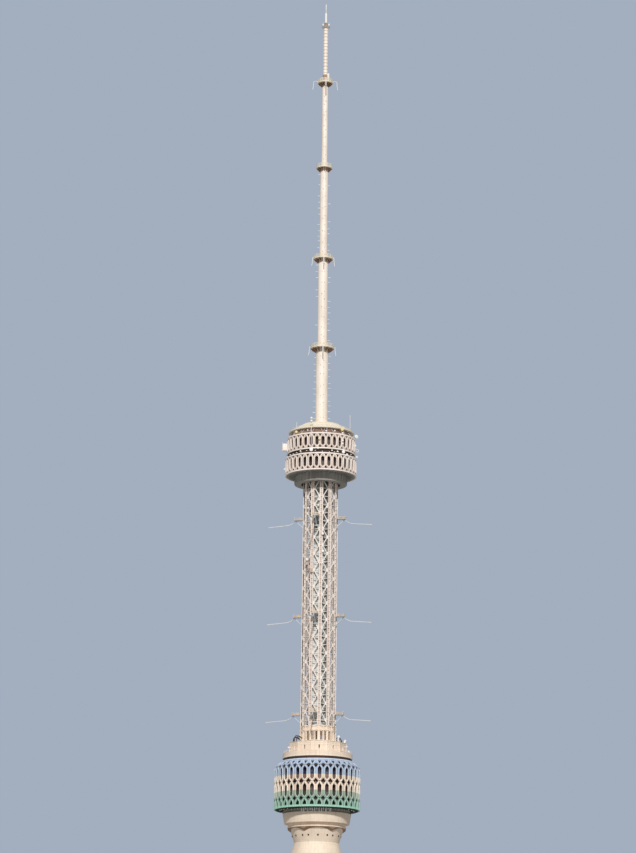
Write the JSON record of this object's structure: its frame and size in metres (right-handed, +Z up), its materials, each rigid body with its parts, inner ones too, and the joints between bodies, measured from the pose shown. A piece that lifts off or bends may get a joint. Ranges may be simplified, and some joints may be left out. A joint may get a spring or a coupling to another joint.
{
  "type": "radio mast scale model",
  "caption": "Radio and television mast: leaning box legs, hexagonal neck, round buildings behind pierced screens, a braced lattice shaft and a stepped tube mast.",
  "frame": {"origin": "centre of the flat underside of the core's base plate, at ground level", "axes": "+Z up along the mast's axis, -Y towards the front, +X to the right seen from the front"},
  "size_m": [5.5146, 4.7758, 37.5],
  "materials": {
    "leg_cladding": "matt",
    "cream_cladding": "matt",
    "cream_steel": "satin",
    "screen_paint": "satin",
    "blue_cladding": "satin",
    "deck_slab": "rough",
    "dark_soffit": "matt",
    "window_glass": "polished",
    "riser_metal": "matt",
    "boom_steel": "matt",
    "roof_metal": "satin",
    "antenna_cover": "satin"
  },
  "bodies": {
    "root": {"core_base": "deck_slab", "core_shaft": "leg_cladding", "leg_front": "leg_cladding", "leg_right": "leg_cladding", "leg_left": "leg_cladding", "leg_knot": "cream_cladding", "hex_neck": "cream_cladding", "neck_collar": "cream_cladding", "lower_drum": "cream_cladding", "lower_deck": "dark_soffit", "lower_core": "riser_metal", "lower_floors": "deck_slab", "lower_glass": "window_glass", "lower_ceiling": "dark_soffit", "lower_screen_front": "screen_paint", "lower_screen_back": "screen_paint", "lower_shoulder": "blue_cladding", "lower_roof": "dark_soffit", "terrace_ring": "cream_cladding", "terrace_drum": "cream_cladding", "lantern": "cream_steel", "shaft_chords": "cream_steel", "bracing_front": "cream_steel", "bracing_right": "cream_steel", "bracing_back": "cream_steel", "bracing_left": "cream_steel", "shaft_stiffeners": "cream_steel", "shaft_riser": "riser_metal", "booms": "boom_steel", "upper_soffit": "dark_soffit", "upper_deck": "dark_soffit", "upper_mid_floor": "dark_soffit", "upper_glass": "window_glass", "upper_low_screen_front": "cream_steel", "upper_low_screen_back": "cream_steel", "upper_high_screen_front": "cream_steel", "upper_high_screen_back": "cream_steel", "upper_roof": "roof_metal", "mast_section_1": "cream_steel", "mast_section_2": "cream_steel", "mast_section_3": "cream_steel", "mast_section_4": "cream_steel", "mast_platforms": "cream_steel", "antenna": "antenna_cover", "mast_tip": "cream_steel"}
  },
  "joints": []
}
